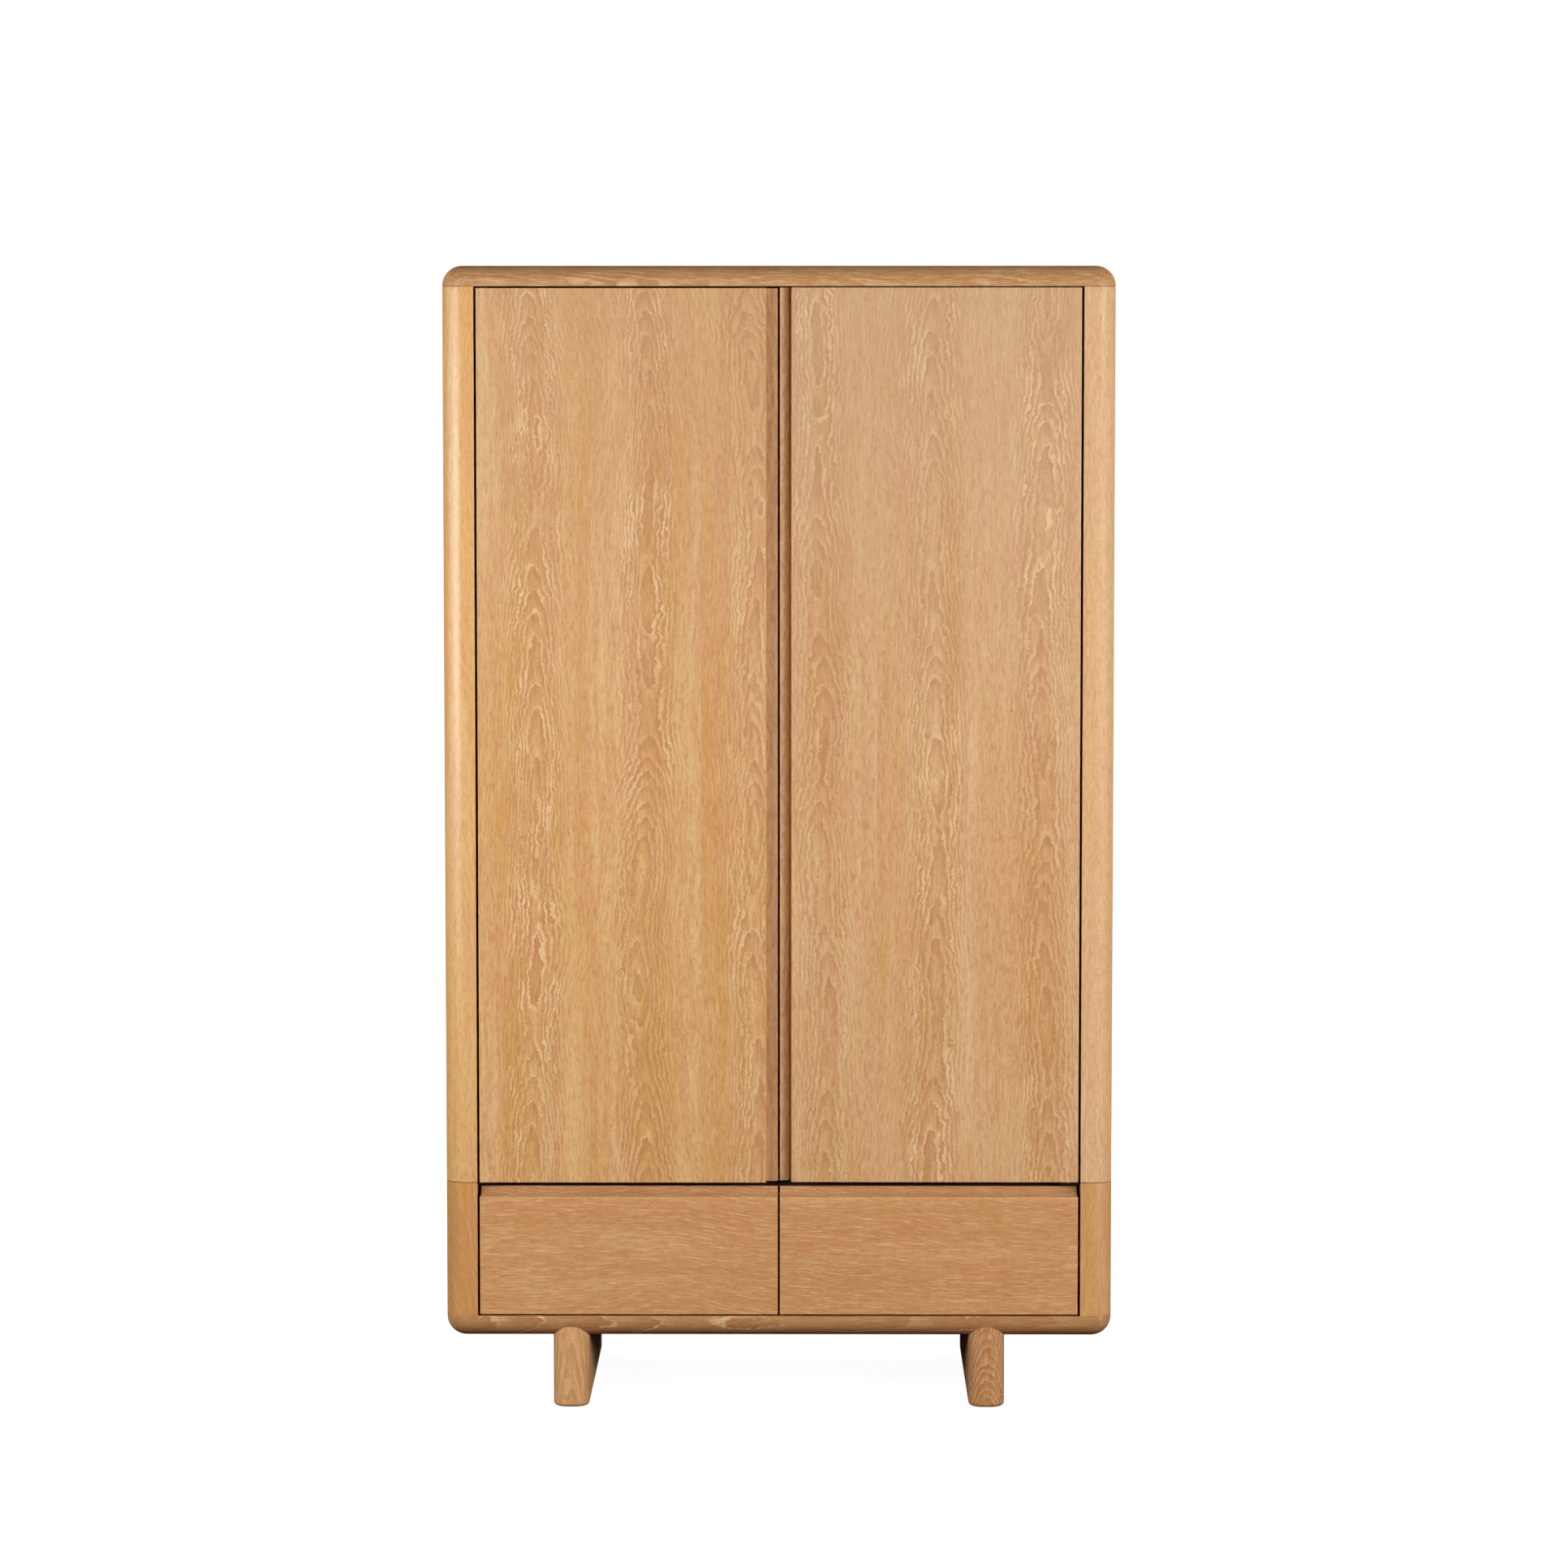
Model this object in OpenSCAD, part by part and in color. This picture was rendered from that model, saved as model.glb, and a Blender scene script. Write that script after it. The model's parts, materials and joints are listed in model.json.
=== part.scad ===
// Two-door armoire in oak: a door cabinet standing on a drawer cabinet with two plank legs.
// The origin is on the floor under the middle of the body. +X is the right side and -Y is the front.

/* [Body] */
// Width of the body
body_w = 1110; // [1000:10:1300]
// Height from the floor to the top
body_h = 1900; // [1800:10:2100]
// Depth of the body
body_d = 580; // [560:10:640]
// Radius of the body's rounded outer edges
edge_r = 33; // [20:1:33]
// Thickness of the top panel
top_t = 34; // [34:1:44]
// Thickness of the base panel
base_t = 36; // [34:1:44]
// Height of the joint between the drawer cabinet and the door cabinet
split_z = 380; // [370:5:420]

/* [Sides] */
// Width of a front post, seen from the front
post_w = 53; // [48:1:60]
// Depth of a front post
post_d = 60; // [50:1:60]
// Thickness of a side board behind its post
side_t = 26; // [24:1:30]
// Thickness of the back boards
back_t = 8; // [6:1:9]

/* [Doors] */
// Thickness of a door panel
door_t = 20; // [18:1:20]
// Thickness of the lip strip behind a door's meeting edge
lip_t = 12; // [10:1:12]
// Depth of the finger recess into a door's meeting edge or a drawer's top edge
recess = 19; // [16:1:22]
// Gap at a door's hinge side
hinge_gap = 4; // [4:0.5:5]
// Gap over the left door
top_gap = 3; // [2.5:0.5:4]
// How much higher the right door hangs
right_lift = 1; // [0:0.5:1]

/* [Drawers] */
// Thickness of a drawer's front board, behind its face
front_t = 16; // [14:1:16]
// Length of a drawer's side
drawer_l = 470; // [440:5:470]
// Thickness of a drawer's sides and back
wall_t = 15; // [12:1:16]
// Top of the drawer sides, above the base panel
wall_top = 189; // [150:1:190]

/* [Legs] */
// Height of the body's underside over the floor
leg_h = 120; // [110:5:160]
// Thickness of a plank leg
leg_t = 60; // [50:1:60]
// Length of a plank leg, front to back
leg_l = 540; // [480:5:550]
// Distance from the middle of the body to a leg's centre
leg_x = 347; // [250:1:400]

/* [Fittings] */
// Diameter of the hanging rail
rail_d = 25; // [20:1:30]
// Height of the hanging rail's centre
rail_z = 1490; // [1400:10:1500]
// Underside of the hat shelf
shelf_z = 1560; // [1550:10:1600]
// Radius of a door pivot pin
pin_r = 4; // [3:0.5:4]
// Distance between the two wall anchor holes
anchor_span = 480; // [300:20:600]

/* [Hidden] */
$fn = 96;
front_y = -body_d / 2;
back_y = body_d / 2;
half_w = body_w / 2;
open_hw = half_w - post_w;
inner_hw = half_w - side_t;
base_z = leg_h + base_t;
under_top = body_h - top_t;

board_t = 22;
meet_gap = 3.5;
rebate_w = 12;
rebate_d = 10;
shelf_t = 22;
partition_t = 20;
hole_clear = 0.15;

door_top = under_top - top_gap;
door_bottom = split_z + 0.5;
door_out = open_hw - hinge_gap;
face_in = meet_gap / 2 + recess;
lip_lap = 45;
pivot_x = door_out - 16;
pivot_y = front_y + door_t / 2;
bush_r = 6;
bush_depth = 14;
pin_clear = 0.05;
pin_l = 12;
plate_t = 2.4;
plate_in = 34;
plate_out = 30;
plate_y = 4;
plate_l = 36;

face_bottom = base_z + 3;
lip_top = split_z - 3;
face_top = lip_top - recess - 1;
box_y = front_y + door_t + front_t;
box_back = box_y + drawer_l;
wall_bottom = base_z + 19;
wall_z = base_z + wall_top;
bottom_z = wall_bottom + 9;
bottom_t = 9;
groove = 6;
slack = 0.3;

rail_wall = 1.5;
socket_t = 4;
socket_l = 16;

runner_t = 12.7;
runner_l = 450;
runner_z = base_z + 99;
runner_y = front_y + 42;
steel_t = 1.2;
packer_h = 50;

leg_r = 24;
arris = 7;
glide_r = 14;
glide_t = 3;
stand_off = 1;
leg_front = 4;
glide_inset = 45;

dowel_r = 5;
dowel_l = 36;
dowel_spots = [[half_w - 15, 50], [half_w - side_t / 2, 200], [half_w - side_t / 2, 440]];
bolt_r = 4;
bolt_head_r = 8;
bolt_head_t = 5;
bolt_spots = [90, 274, 458];
connector_r = 3;
connector_head_t = 2;
connector_spots = [[440, 110], [440, 480]];
shelf_pin_r = 2.5;
shelf_pin_spots = [110, 470];
screw_r = 1.5;
screw_l = 26;
screw_sink = 2;
screw_pilot = screw_r + hole_clear;
screw_edge = 6;
upper_screws = [split_z + 60, 770, 1120, 1470, 1800];
lower_screws = [base_z + 40, split_z - 50];
edge_screws = [-400, 0, 400];
anchor_r = 3.5;
anchor_t = 18;
anchor_h = 80;
face_screw_r = 2;
face_screw_x = [-430, -70];
face_screw_z = [base_z + 60, base_z + 150];
face_screw_y = 9;

oak = "burlywood";
oak_solid = "peru";
inner_oak = "wheat";
steel = "silver";
brass = "goldenrod";
plastic = "dimgray";

// Box between two opposite corners
module span(low, high) {
    translate(low) cube(high - low);
}

// Turns a left-hand piece into its right-hand twin
module right_hand() {
    mirror([1, 0, 0]) children();
}

module both_hands() {
    children();
    right_hand() children();
}

// Upright quarter of a cylinder, on the -X -Y side of its axis
module corner_round(r, h) {
    intersection() {
        cylinder(r = r, h = h);
        translate([-r, -r, 0]) cube([r, r, h]);
    }
}

// Body-sized slab, its lower stretch upright and its front and side edges rounded over the top
module edge_slab(upright) {
    flat_hw = half_w - edge_r;
    arc_y = front_y + edge_r;
    t = upright + edge_r;
    span([-flat_hw, arc_y, 0], [flat_hw, back_y, t]);
    span([-flat_hw, front_y, 0], [flat_hw, arc_y, upright]);
    translate([-flat_hw, arc_y, upright]) intersection() {
        rotate([0, 90, 0]) cylinder(r = edge_r, h = 2 * flat_hw);
        span([0, -edge_r, 0], [2 * flat_hw, 0, edge_r]);
    }
    both_hands() {
        span([-half_w, arc_y, 0], [-flat_hw, back_y, upright]);
        translate([-flat_hw, arc_y, 0]) corner_round(edge_r, upright);
        translate([-flat_hw, arc_y, upright]) intersection() {
            rotate([-90, 0, 0]) cylinder(r = edge_r, h = back_y - arc_y);
            span([-edge_r, 0, 0], [0, back_y - arc_y, edge_r]);
        }
        translate([-flat_hw, arc_y, upright]) intersection() {
            sphere(r = edge_r);
            span([-edge_r, -edge_r, 0], [0, 0, edge_r]);
        }
    }
}

// Dowels, or the holes for them, across a joint at height z
module dowels(z, r, l) {
    both_hands() for (p = dowel_spots) {
        translate([-p[0], front_y + p[1], z - l / 2]) cylinder(r = r, h = l);
    }
}

module dowel_holes(z) {
    dowels(z, dowel_r + hole_clear, dowel_l + 2);
}

// Screws, or the holes for them, that enter from the back at height z
module back_screw(x, z, r, head_r) {
    translate([x, back_y - screw_sink, z]) rotate([-90, 0, 0]) {
        translate([0, 0, -screw_l]) cylinder(r = r, h = screw_l);
        if (head_r > 0) {
            cylinder(r = head_r, h = screw_sink / 2);
        }
    }
}

module all_back_screws(r, head_r) {
    screw_x = inner_hw + rebate_w / 2;
    both_hands() for (z = concat(upper_screws, lower_screws)) back_screw(-screw_x, z, r, head_r);
    for (x = edge_screws) {
        back_screw(x, under_top + screw_edge, r, head_r);
        back_screw(x, base_z - screw_edge, r, head_r);
    }
}

// Space that a back board fills, cut into the panels and sides around it
module back_rebate() {
    hw = inner_hw + rebate_w;
    span([-hw, back_y - rebate_d, base_z - rebate_w], [hw, back_y + 1, under_top + rebate_w]);
}

// Left pivot plate's slab with its underside at z, or with play the pocket it sits in
module plate_slab(z, play) {
    low_y = front_y + plate_y;
    span([-open_hw - plate_out - play, low_y - play, z],
         [-open_hw + plate_in + play, low_y + plate_l + play, z + plate_t]);
}

// Left pivot plate with its pin standing up from the plate's underside by l
module pivot_plate(l) {
    plate_slab(0, 0);
    translate([-pivot_x, pivot_y, 0]) cylinder(r = pin_r, h = l);
}

module plate_pockets(z) {
    both_hands() plate_slab(z, slack);
}

module top_panel() {
    color(oak_solid) difference() {
        translate([0, 0, under_top]) edge_slab(top_t - edge_r);
        dowel_holes(under_top);
        plate_pockets(under_top);
        back_rebate();
        all_back_screws(screw_pilot, 0);
    }
}

module base_panel() {
    color(oak_solid) difference() {
        translate([0, 0, base_z]) mirror([0, 0, 1]) edge_slab(base_t - edge_r);
        dowel_holes(base_z);
        leg_bolt_set(bolt_r + hole_clear, bolt_head_r + 2 * hole_clear, 2);
        back_rebate();
        all_back_screws(screw_pilot, 0);
    }
}

// Left front post between two heights, its outer front edge rounded
module post(low, high) {
    h = high - low;
    difference() {
        translate([-half_w, front_y, low]) {
            span([edge_r, 0, 0], [post_w, post_d, h]);
            span([0, edge_r, 0], [edge_r, post_d, h]);
            translate([edge_r, edge_r, 0]) corner_round(edge_r, h);
        }
        dowel_holes(low);
        dowel_holes(high);
        plate_pockets(split_z - plate_t);
    }
}

module left_upper_post() {
    color(oak_solid) post(split_z, under_top);
}

module right_upper_post() {
    right_hand() left_upper_post();
}

module left_lower_post() {
    color(oak_solid) post(base_z, split_z);
}

module right_lower_post() {
    right_hand() left_lower_post();
}

// Left side board between two heights
module side_board(low, high) {
    difference() {
        span([-half_w, front_y + post_d, low], [-inner_hw, back_y, high]);
        dowel_holes(low);
        dowel_holes(high);
        back_rebate();
        all_back_screws(screw_pilot, 0);
        shelf_pin_set(shelf_pin_r + hole_clear, 11);
    }
}

module left_upper_side() {
    color(oak) side_board(split_z, under_top);
}

module right_upper_side() {
    right_hand() left_upper_side();
}

module left_lower_side() {
    color(oak) side_board(base_z, split_z);
}

module right_lower_side() {
    right_hand() left_lower_side();
}

// Full-width board, notched around the front posts
module bay_board(y, low, high) {
    difference() {
        span([-inner_hw, y, low], [inner_hw, back_y - rebate_d, high]);
        both_hands() span([-half_w, front_y, low - 1], [-open_hw, front_y + post_d, high + 1]);
        connector_set(connector_r + hole_clear, 0);
    }
}

module cabinet_floor() {
    color(inner_oak) bay_board(front_y + 36, split_z, split_z + board_t);
}

module drawer_bay_top() {
    color(inner_oak) bay_board(front_y + 40, split_z - board_t, split_z);
}

module drawer_partition() {
    color(inner_oak) span([-partition_t / 2, front_y + 40, base_z],
                          [partition_t / 2, back_y - rebate_d, split_z - board_t]);
}

// Back board between two heights
module back_board(low, high) {
    board_hw = inner_hw + rebate_w - 0.5;
    board_y = back_y - rebate_d;
    difference() {
        span([-board_hw, board_y, low], [board_hw, board_y + back_t, high]);
        all_back_screws(screw_pilot, 0);
        anchor_holes();
    }
}

module upper_back() {
    color(inner_oak) back_board(split_z, under_top + rebate_w - 0.5);
}

module lower_back() {
    color(inner_oak) back_board(base_z - rebate_w + 0.5, split_z - 0.5);
}

// Two holes through the back for fixing the armoire to a wall
module anchor_holes() {
    for (s = [-1, 1]) {
        translate([s * anchor_span / 2, back_y - rebate_d - 2 * anchor_t, under_top - anchor_h / 2]) {
            rotate([-90, 0, 0]) cylinder(r = anchor_r, h = 3 * anchor_t);
        }
    }
}

module anchor_rail() {
    rail_back = back_y - rebate_d;
    color(inner_oak) difference() {
        span([-inner_hw, rail_back - anchor_t, under_top - anchor_h], [inner_hw, rail_back, under_top]);
        anchor_holes();
        all_back_screws(screw_pilot, 0);
    }
}

module hat_shelf() {
    color(inner_oak) span([-inner_hw + 1, front_y + 65, shelf_z],
                          [inner_hw - 1, back_y - rebate_d - 2, shelf_z + shelf_t]);
}

// Shelf pins, or the holes for them, along X
module shelf_pin_set(r, depth) {
    both_hands() for (y = shelf_pin_spots) {
        translate([-inner_hw - depth, front_y + y, shelf_z - shelf_pin_r]) {
            rotate([0, 90, 0]) cylinder(r = r, h = depth + 9);
        }
    }
}

module shelf_pins() {
    color(steel) shelf_pin_set(shelf_pin_r, 10);
}

module hanging_rail() {
    rail_l = 2 * (inner_hw - socket_t - 0.5);
    color(steel) translate([-rail_l / 2, 0, rail_z]) rotate([0, 90, 0]) difference() {
        cylinder(d = rail_d, h = rail_l);
        translate([0, 0, -1]) cylinder(d = rail_d - 2 * rail_wall, h = rail_l + 2);
    }
}

module rail_sockets() {
    color(steel) both_hands() translate([-inner_hw, 0, rail_z]) rotate([0, 90, 0]) {
        cylinder(r = rail_d, h = socket_t);
        difference() {
            cylinder(d = rail_d + 2 * socket_t, h = socket_l);
            translate([0, 0, socket_t]) cylinder(d = rail_d + 2 * slack, h = socket_l);
        }
    }
}

// Quarter of a disc, on the +X +Y side of its centre
module outline_corner(r) {
    intersection() {
        circle(r = r);
        square(r);
    }
}

// Plank outline seen along the vertical: rounded ends, centred in X, starting at y = 0
module plank_outline() {
    span_w = leg_t - 2 * leg_r;
    translate([-span_w / 2, 0]) square([span_w, leg_l]);
    translate([-leg_t / 2, leg_r]) square([leg_t, leg_l - 2 * leg_r]);
    for (right = [0, 1], rear = [0, 1]) {
        translate([(right - 0.5) * span_w, rear ? leg_l - leg_r : leg_r]) {
            mirror([1 - right, 0]) mirror([0, 1 - rear]) outline_corner(leg_r);
        }
    }
}

// Outline of width w with its two lower corners rounded, standing on the X axis
module rounded_foot(w, h) {
    translate([arris, 0]) square([w - 2 * arris, h]);
    translate([0, arris]) square([w, h - arris]);
    for (far = [0, 1]) {
        translate([far ? w - arris : arris, arris]) {
            mirror([1 - far, 0]) mirror([0, 1]) outline_corner(arris);
        }
    }
}

// Left plank leg, its top scribed to the rounded underside of the base panel
module leg() {
    h = leg_h + edge_r - stand_off;
    start_y = front_y + leg_front;
    difference() {
        translate([-leg_x, start_y, stand_off]) intersection() {
            linear_extrude(height = h) plank_outline();
            translate([-leg_t / 2, leg_l, 0]) rotate([90, 0, 0]) {
                linear_extrude(height = leg_l) rounded_foot(leg_t, h);
            }
            translate([-leg_t / 2, 0, 0]) rotate([90, 0, 90]) {
                linear_extrude(height = leg_t) rounded_foot(leg_l, h);
            }
        }
        span([-half_w, front_y + edge_r, leg_h], [half_w, back_y, base_z]);
        translate([-half_w, front_y + edge_r, leg_h + edge_r]) rotate([0, 90, 0]) {
            cylinder(r = edge_r + slack, h = body_w);
        }
        leg_bolt_set(bolt_r + hole_clear, 0, 2);
        glide_set(glide_r + slack, glide_t);
    }
}

module left_leg() {
    color(oak_solid) leg();
}

module right_leg() {
    right_hand() left_leg();
}

// Glides, or the sockets for them, under both ends of both legs
module glide_set(r, t) {
    both_hands() for (y = [glide_inset, leg_l - glide_inset]) {
        translate([-leg_x, front_y + leg_front + y, 0]) cylinder(r = r, h = t);
    }
}

module floor_glides() {
    color(plastic) glide_set(glide_r, glide_t);
}

// Leg bolts, or the holes for them: shank radius r, head radius head_r, tip lowered by extra
module leg_bolt_set(r, head_r, extra) {
    both_hands() for (y = bolt_spots) translate([-leg_x, front_y + leg_front + y, 0]) {
        tip_z = leg_h / 2 - extra;
        head_z = base_z - bolt_head_t - 2;
        translate([0, 0, tip_z]) cylinder(r = r, h = head_z + 1 - tip_z);
        if (head_r > 0) {
            translate([0, 0, head_z]) cylinder(r = head_r, h = bolt_head_t + extra);
        }
    }
}

module leg_bolts() {
    color(steel) leg_bolt_set(bolt_r, bolt_head_r, 0);
}

module carcass_dowels() {
    color(oak_solid) for (z = [base_z, split_z, under_top]) dowels(z, dowel_r, dowel_l);
}

// Bolts that join the two cabinets, or the holes for them
module connector_set(r, head_r) {
    both_hands() for (p = connector_spots) translate([-p[0], front_y + p[1], split_z]) {
        foot_z = -board_t - connector_head_t;
        translate([0, 0, foot_z]) cylinder(r = r, h = 2 * (board_t + connector_head_t));
        if (head_r > 0) {
            translate([0, 0, board_t]) cylinder(r = head_r, h = connector_head_t);
            translate([0, 0, foot_z]) cylinder(r = head_r, h = connector_head_t);
        }
    }
}

module cabinet_connectors() {
    color(steel) connector_set(connector_r, 8);
}

module back_screws() {
    color(steel) all_back_screws(screw_r, 3.5);
}

module runner_packers() {
    color(inner_oak) both_hands() span([-inner_hw, front_y + post_d, runner_z - packer_h / 2],
                                       [-open_hw, runner_y + runner_l + 20, runner_z + packer_h / 2]);
}

// Channel of height h: a web between x0 and x0 + steel_t, with flanges that reach from x0 to x1
module channel(h, web_x, x0, x1) {
    translate([0, runner_y, runner_z]) {
        span([web_x, 0, -h / 2], [web_x + steel_t, runner_l, h / 2]);
        for (z = [-h / 2, h / 2 - steel_t]) {
            span([x0, 0, z], [x1, runner_l, z + steel_t]);
        }
    }
}

// Puts a runner part, drawn from its mounting wall towards the drawer, on both sides of the left bay
module at_runners() {
    translate([-open_hw, 0, 0]) children();
    translate([-partition_t / 2, 0, 0]) mirror([1, 0, 0]) children();
}

module runner_cabinet_members() {
    color(steel) both_hands() at_runners() channel(45, 0, 0, 9);
}

module left_runner_middles() {
    color(steel) at_runners() channel(41.6, 1.7, 1.7, 10.5);
}

module right_runner_middles() {
    right_hand() left_runner_middles();
}

module left_drawer_runners() {
    color(steel) at_runners() channel(38.2, runner_t - steel_t, 3.4, runner_t);
}

module right_drawer_runners() {
    right_hand() left_drawer_runners();
}

module upper_pivot_plates() {
    color(steel) both_hands() translate([0, 0, under_top + plate_t]) {
        mirror([0, 0, 1]) pivot_plate(plate_t + top_gap + pin_l);
    }
}

module lower_pivot_plates() {
    color(steel) both_hands() translate([0, 0, split_z - plate_t]) pivot_plate(plate_t + pin_l);
}

module door_catches() {
    catch_y = front_y + door_t + lip_t + 2;
    color(plastic) both_hands() span([-60, catch_y, under_top - 14], [-20, catch_y + 18, under_top]);
}

// Left door panel, its foot raised by lift
module door_panel(lift) {
    difference() {
        span([-door_out, front_y, door_bottom + lift], [-face_in, front_y + door_t, door_top + lift]);
        translate([-pivot_x, pivot_y, door_bottom]) cylinder(r = bush_r, h = bush_depth);
        translate([-pivot_x, pivot_y, door_top + lift - bush_depth]) {
            cylinder(r = bush_r, h = bush_depth + 1);
        }
        translate([-pivot_x, pivot_y, door_bottom - 1]) cylinder(r = bush_r, h = 2);
    }
}

module left_door_panel() {
    color(oak) door_panel(0);
}

module right_door_panel() {
    color(oak) right_hand() door_panel(right_lift);
}

// Left door's lip strip, which stands past the panel's meeting edge and makes the finger recess
module door_lip(lift) {
    span([-face_in - lip_lap, front_y + door_t, door_bottom + lift],
         [-meet_gap / 2, front_y + door_t + lip_t, door_top + lift]);
}

module left_door_lip() {
    color(oak_solid) door_lip(0);
}

module right_door_lip() {
    color(oak_solid) right_hand() door_lip(right_lift);
}

// Left door's two bushes: the lower one bears on its pivot plate
module door_bushes(lift) {
    lower = [split_z + pin_clear, door_bottom + bush_depth];
    upper = [door_top + lift - bush_depth, door_top + lift];
    for (z = [lower, upper]) {
        translate([-pivot_x, pivot_y, z[0]]) difference() {
            cylinder(r = bush_r, h = z[1] - z[0]);
            translate([0, 0, -1]) cylinder(r = pin_r + pin_clear, h = bush_depth + 3);
        }
    }
}

module left_door_bushes() {
    color(brass) door_bushes(0);
}

module right_door_bushes() {
    color(brass) right_hand() door_bushes(right_lift);
}

module door_strike(lift) {
    strike_y = front_y + door_t + lip_t;
    span([-55, strike_y, door_top + lift - 12], [-25, strike_y + 1.5, door_top + lift - 1]);
}

module left_door_strike() {
    color(steel) door_strike(0);
}

module right_door_strike() {
    color(steel) right_hand() door_strike(right_lift);
}

module left_drawer_face() {
    color(oak) difference() {
        span([-door_out, front_y, face_bottom], [-meet_gap / 2, front_y + door_t, face_top]);
        drawer_screw_set(face_screw_r + hole_clear, 0);
    }
}

module right_drawer_face() {
    right_hand() left_drawer_face();
}

module left_drawer_front() {
    color(oak_solid) difference() {
        span([-door_out + 1.5, front_y + door_t, face_bottom + 6], [-meet_gap / 2, box_y, lip_top]);
        drawer_floor(slack);
        drawer_screw_set(face_screw_r + hole_clear, 0);
    }
}

module right_drawer_front() {
    right_hand() left_drawer_front();
}

// Left drawer's side whose outer face is at x, growing towards dir
module drawer_side(x, dir) {
    difference() {
        translate([x, 0, 0]) mirror([dir < 0 ? 1 : 0, 0, 0]) {
            span([0, box_y, wall_bottom], [wall_t, box_back, wall_z]);
        }
        drawer_floor(slack);
    }
}

module left_drawer_outer_side() {
    color(inner_oak) drawer_side(-open_hw + runner_t, 1);
}

module right_drawer_outer_side() {
    right_hand() left_drawer_outer_side();
}

module left_drawer_inner_side() {
    color(inner_oak) drawer_side(-partition_t / 2 - runner_t, -1);
}

module right_drawer_inner_side() {
    right_hand() left_drawer_inner_side();
}

module left_drawer_back() {
    color(inner_oak) span([-open_hw + runner_t + wall_t, box_back - wall_t, bottom_z + bottom_t + slack],
                          [-partition_t / 2 - runner_t - wall_t, box_back, wall_z - 5]);
}

module right_drawer_back() {
    right_hand() left_drawer_back();
}

// Left drawer's floor, or with play the grooves that hold it
module drawer_floor(play) {
    reach = groove + play;
    span([-open_hw + runner_t + wall_t - reach, box_y - reach, bottom_z - play],
         [-partition_t / 2 - runner_t - wall_t + reach, box_back + play, bottom_z + bottom_t + play]);
}

module left_drawer_bottom() {
    color(inner_oak) drawer_floor(0);
}

module right_drawer_bottom() {
    right_hand() left_drawer_bottom();
}

// Screws that hold a drawer's face to its front board, or the holes for them
module drawer_screw_set(r, head_r) {
    shank_l = door_t + front_t - face_screw_y;
    for (x = face_screw_x, z = face_screw_z) translate([x, front_y + face_screw_y, z]) rotate([-90, 0, 0]) {
        cylinder(r = r, h = shank_l);
        if (head_r > 0) {
            translate([0, 0, shank_l]) cylinder(r = head_r, h = 2);
        }
    }
}

module left_drawer_screws() {
    color(steel) drawer_screw_set(face_screw_r, 2 * face_screw_r);
}

module right_drawer_screws() {
    right_hand() left_drawer_screws();
}

top_panel();
base_panel();
left_upper_post();
right_upper_post();
left_upper_side();
right_upper_side();
left_lower_post();
right_lower_post();
left_lower_side();
right_lower_side();
cabinet_floor();
drawer_bay_top();
drawer_partition();
upper_back();
lower_back();
anchor_rail();
hat_shelf();
shelf_pins();
hanging_rail();
rail_sockets();
left_leg();
right_leg();
floor_glides();
leg_bolts();
carcass_dowels();
cabinet_connectors();
back_screws();
runner_packers();
runner_cabinet_members();
upper_pivot_plates();
lower_pivot_plates();
door_catches();
left_door_panel();
left_door_lip();
left_door_bushes();
left_door_strike();
right_door_panel();
right_door_lip();
right_door_bushes();
right_door_strike();
left_drawer_face();
left_drawer_front();
left_drawer_outer_side();
left_drawer_inner_side();
left_drawer_back();
left_drawer_bottom();
left_drawer_screws();
left_drawer_runners();
left_runner_middles();
right_drawer_face();
right_drawer_front();
right_drawer_outer_side();
right_drawer_inner_side();
right_drawer_back();
right_drawer_bottom();
right_drawer_screws();
right_drawer_runners();
right_runner_middles();
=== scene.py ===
import json
import math

import bmesh
import bpy
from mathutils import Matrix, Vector


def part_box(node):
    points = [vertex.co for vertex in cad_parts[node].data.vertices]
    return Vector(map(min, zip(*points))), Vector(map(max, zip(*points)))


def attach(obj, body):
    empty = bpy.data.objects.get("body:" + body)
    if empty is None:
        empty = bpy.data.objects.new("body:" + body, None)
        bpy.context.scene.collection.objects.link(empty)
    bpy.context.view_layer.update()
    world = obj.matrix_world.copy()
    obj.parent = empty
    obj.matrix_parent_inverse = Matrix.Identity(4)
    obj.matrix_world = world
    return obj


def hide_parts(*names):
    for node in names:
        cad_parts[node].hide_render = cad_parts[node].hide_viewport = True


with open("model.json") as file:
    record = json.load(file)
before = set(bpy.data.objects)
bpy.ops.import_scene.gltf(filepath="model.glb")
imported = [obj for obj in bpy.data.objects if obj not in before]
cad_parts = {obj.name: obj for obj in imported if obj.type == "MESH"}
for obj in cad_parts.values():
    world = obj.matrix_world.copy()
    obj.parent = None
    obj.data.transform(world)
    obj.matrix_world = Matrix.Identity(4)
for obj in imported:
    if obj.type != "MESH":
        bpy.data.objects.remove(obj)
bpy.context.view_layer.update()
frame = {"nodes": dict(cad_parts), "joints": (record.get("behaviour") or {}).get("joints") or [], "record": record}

SIDES = ("left", "right")
LEVELS = ("upper", "lower")

# Sizes of the edges, in metres. They repeat the CAD model's where it has them.
BODY_R = 0.033
HAIR = 0.0005
BOARD_ARRIS = 0.0008
DOOR_ARRIS = 0.0010
MEETING_R = 0.0024
JOINT_GAP = 0.0009
DRAWER_TOP_ARRIS = 0.004
LEG_R = 0.024
LEG_ARRIS = 0.007
SCRIBE_GAP = 0.0003
GROOVE_W = 0.0045
GROOVE_D = 0.010
GROOVE_BACK = 0.003
SLOPE_BEND = (0.016, 0.006)
LIP_DROP = 0.0045
LIP_FALL = 0.012
BUSH_R = 0.006
BUSH_DEPTH = 0.014
REBATE_PLAY = 0.0005

# Straight pieces in a small arc, in the slope of a drawer's front board, and in any other arc.
SMALL_ARC_STEPS = 6
SLOPE_STEPS = 8
ARC_STEPS = 16

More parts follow.
